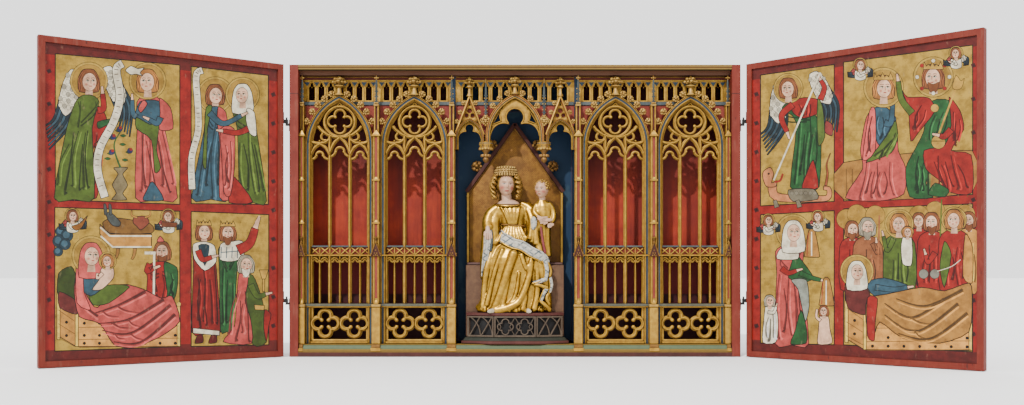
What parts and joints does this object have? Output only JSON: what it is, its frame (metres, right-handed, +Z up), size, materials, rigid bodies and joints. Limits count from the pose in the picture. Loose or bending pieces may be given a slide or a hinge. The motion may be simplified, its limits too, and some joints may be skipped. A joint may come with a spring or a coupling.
{
  "type": "winged altarpiece",
  "caption": "Carved and gilded shrine with traceried relic compartments, a throned mother and child in the middle niche, and painted hinged wings.",
  "frame": {"origin": "centre of the case's underside, midway between its front and back", "axes": "+X to the viewer's right, +Y from the open front to the back, +Z up"},
  "size_m": [4.3801, 1.1075, 1.555],
  "materials": {
    "board_wood": "painted wood, matt and worn",
    "red_wood": "painted wood, matt and worn",
    "gold_wood": "matt gilding, worn, with blue and red lines",
    "grey_wood": "painted wood, matt and worn",
    "blue_wood": "painted wood, matt and worn",
    "figure_gold": "burnished water gilding over gesso, worn",
    "wing_red": "plain brick-red paint, matt",
    "wing_picture": "tempera on gold ground, semi-gloss",
    "iron": "dark forged, matt"
  },
  "bodies": {
    "shrine": {"left_side_board": "red_wood", "right_side_board": "red_wood", "back_board": "board_wood", "bottom_board": "board_wood", "top_board": "gold_wood", "left_partition": "blue_wood", "right_partition": "blue_wood", "left_lower_shelf": "board_wood", "left_middle_shelf": "board_wood", "left_upper_shelf": "board_wood", "right_lower_shelf": "board_wood", "right_middle_shelf": "board_wood", "right_upper_shelf": "board_wood", "niche_floor": "grey_wood", "niche_ceiling": "blue_wood", "window_arch_1": "gold_wood", "window_tracery_1": "gold_wood", "arcade_1": "gold_wood", "quatrefoil_panel_1": "gold_wood", "window_arch_2": "gold_wood", "window_tracery_2": "gold_wood", "arcade_2": "gold_wood", "quatrefoil_panel_2": "gold_wood", "window_arch_3": "gold_wood", "window_tracery_3": "gold_wood", "arcade_3": "gold_wood", "quatrefoil_panel_3": "gold_wood", "window_arch_4": "gold_wood", "window_tracery_4": "gold_wood", "arcade_4": "gold_wood", "quatrefoil_panel_4": "gold_wood", "pier_1": "gold_wood", "pier_2": "gold_wood", "pier_3": "gold_wood", "pier_4": "gold_wood", "pier_5": "gold_wood", "pier_6": "gold_wood", "niche_canopy": "gold_wood", "left_front_board": "red_wood", "right_front_board": "red_wood", "middle_front_board": "red_wood", "console_foot": "red_wood", "console_tracery": "grey_wood", "console_slab": "red_wood", "throne_bench": "gold_wood", "throne_back": "gold_wood", "mother_and_child": "figure_gold", "left_lower_pintle": "iron", "left_upper_pintle": "iron", "right_lower_pintle": "iron", "right_upper_pintle": "iron"},
    "left_wing": {"left_wing_frame": "wing_red", "left_wing_panel": "wing_picture", "left_lower_eye": "iron", "left_upper_eye": "iron"},
    "right_wing": {"right_wing_frame": "wing_red", "right_wing_panel": "wing_picture", "right_lower_eye": "iron", "right_upper_eye": "iron"}
  },
  "joints": [
    {"name": "left_wing_hinge", "type": "hinge", "parent": "shrine", "child": "left_wing", "pos_m": [-1.215, -0.152, 0], "axis": [0, 0, 1], "range_deg": [-34, 146]},
    {"name": "right_wing_hinge", "type": "hinge", "parent": "shrine", "child": "right_wing", "pos_m": [1.215, -0.152, 0], "axis": [0, 0, -1], "range_deg": [-42, 138]}
  ]
}
